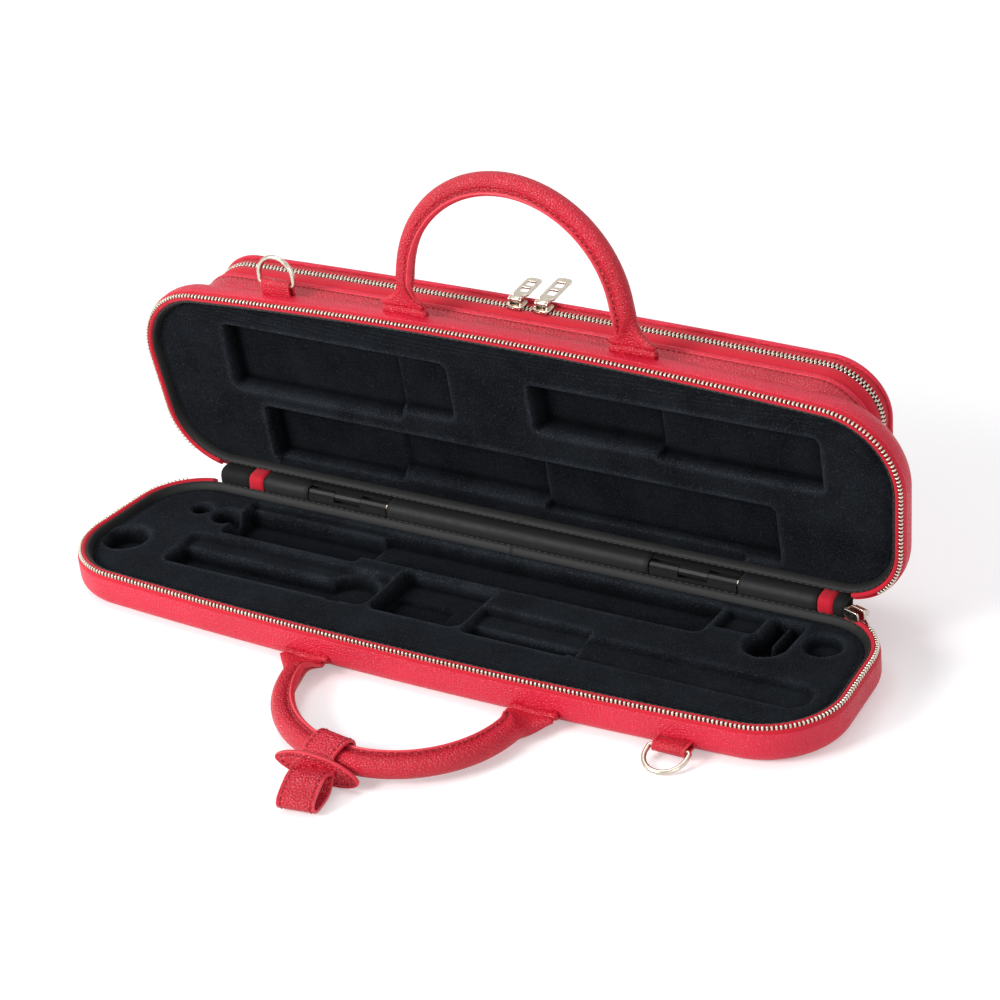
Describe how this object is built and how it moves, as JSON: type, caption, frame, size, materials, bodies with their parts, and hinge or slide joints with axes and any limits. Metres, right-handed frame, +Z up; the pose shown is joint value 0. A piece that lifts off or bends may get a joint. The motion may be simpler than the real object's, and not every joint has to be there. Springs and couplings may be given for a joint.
{
  "type": "flute case",
  "caption": "Soft zipped leather flute case standing open, with moulded wells in tray and lid, rolled handles, a keeper strap, strap rings and a zipped outer pocket.",
  "frame": {"origin": "centre of the tray's underside, on the rest face", "axes": "+X along the case to its right end, -Y to the handle side, +Y to the lid's hinge, +Z up, with the lid standing open"},
  "size_m": [0.4318, 0.2738, 0.2203],
  "materials": {
    "smooth_leather": "fine-grained, satin",
    "pebbled_leather": "pebbled, satin",
    "handle_leather": "grained with painted edges",
    "zip_fabric": "woven tape",
    "stay_fabric": "woven, matte",
    "satin": "satin binding",
    "plush": "short-pile plush over moulded foam",
    "vinyl": "smooth vinyl",
    "nickel": "polished light nickel"
  },
  "bodies": {
    "base": {"base_shell": "smooth_leather", "base_insert": "plush", "base_binding": "satin", "base_zip_tape": "zip_fabric", "base_zip_teeth": "nickel", "base_hinge_strip": "vinyl", "base_stays": "stay_fabric", "base_end_tabs": "zip_fabric", "base_hinge_leaf_left": "nickel", "base_hinge_leaf_right": "nickel", "hinge_pin_left": "nickel", "hinge_pin_right": "nickel", "base_handle_anchors": "handle_leather", "base_ring_tab": "handle_leather"},
    "lid": {"lid_shell": "smooth_leather", "lid_insert": "plush", "lid_binding": "satin", "lid_zip_tape": "zip_fabric", "lid_zip_teeth": "nickel", "lid_hinge_strip": "vinyl", "lid_stays": "stay_fabric", "lid_end_tabs": "zip_fabric", "lid_hinge_leaf_left": "nickel", "lid_hinge_leaf_right": "nickel", "lid_handle_anchors": "handle_leather", "lid_ring_tab": "handle_leather", "pocket_gusset": "pebbled_leather", "pocket_piping": "pebbled_leather", "pocket_inner_tape": "zip_fabric", "pocket_inner_teeth": "nickel"},
    "pocket_flap": {"pocket_panel": "smooth_leather", "pocket_outer_tape": "zip_fabric", "pocket_outer_teeth": "nickel"},
    "pocket_slider_left": {"pocket_slider_left": "nickel"},
    "pocket_pull_left": {"pocket_pull_left": "nickel"},
    "pocket_slider_right": {"pocket_slider_right": "nickel"},
    "pocket_pull_right": {"pocket_pull_right": "nickel"},
    "main_slider": {"main_slider": "nickel"},
    "main_pull": {"main_pull": "nickel"},
    "base_handle": {"base_handle": "handle_leather"},
    "lid_handle": {"lid_handle": "handle_leather"},
    "keeper": {"keeper_strap": "handle_leather", "keeper_leaf": "handle_leather"},
    "base_ring": {"base_ring": "nickel"},
    "lid_ring": {"lid_ring": "nickel"}
  },
  "joints": [
    {"name": "lid_hinge", "type": "hinge", "parent": "base", "child": "lid", "pos_m": [0, 0.058, 0.0225], "axis": [1, 0, 0], "range_deg": [0, 84]},
    {"name": "pocket_flap_fold", "type": "hinge", "parent": "lid", "child": "pocket_flap", "pos_m": [0, 0.10059, 0.04105], "axis": [-1, 0, 0], "range_deg": [0, 22]},
    {"name": "pocket_slider_left_slide", "type": "slide", "parent": "lid", "child": "pocket_slider_left", "axis": [-1, 0, 0], "range_m": [0, 0.095]},
    {"name": "pocket_pull_left_swing", "type": "hinge", "parent": "pocket_slider_left", "child": "pocket_pull_left", "pos_m": [-0.0035, 0.08471, 0.14049], "axis": [1, 0, 0], "range_deg": [0, 150]},
    {"name": "pocket_slider_right_slide", "type": "slide", "parent": "lid", "child": "pocket_slider_right", "axis": [1, 0, 0], "range_m": [0, 0.09]},
    {"name": "pocket_pull_right_swing", "type": "hinge", "parent": "pocket_slider_right", "child": "pocket_pull_right", "pos_m": [0.0115, 0.08471, 0.14048], "axis": [1, 0, 0], "range_deg": [0, 150]},
    {"name": "main_slider_slide", "type": "slide", "parent": "base", "child": "main_slider", "axis": [0.9464, -0.323, 0], "range_m": [0, 0.004]},
    {"name": "main_pull_swing", "type": "hinge", "parent": "main_slider", "child": "main_pull", "pos_m": [0.18973, 0.05833, 0.0218], "axis": [0.9464, -0.323, 0], "range_deg": [0, 100]},
    {"name": "base_handle_lift", "type": "hinge", "parent": "base", "child": "base_handle", "pos_m": [0.013, -0.06202, 0.0064], "axis": [-1, 0, 0], "range_deg": [0, 16]},
    {"name": "lid_handle_fold", "type": "hinge", "parent": "lid", "child": "lid_handle", "pos_m": [0.013, 0.05739, 0.14311], "axis": [-1, 0, 0], "range_deg": [0, 60]},
    {"name": "keeper_swing", "type": "hinge", "parent": "base_handle", "child": "keeper", "pos_m": [0.0101, -0.12913, 0.00851], "axis": [-0.9877, 0.1564, -0.0049], "range_deg": [0, 15]},
    {"name": "base_ring_swing", "type": "hinge", "parent": "base", "child": "base_ring", "pos_m": [0.149, -0.05828, 0.0052], "axis": [-1, 0, 0], "range_deg": [0, 90]},
    {"name": "lid_ring_swing", "type": "hinge", "parent": "lid", "child": "lid_ring", "pos_m": [-0.1285, 0.05866, 0.14055], "axis": [1, 0, 0], "range_deg": [0, 80]}
  ]
}
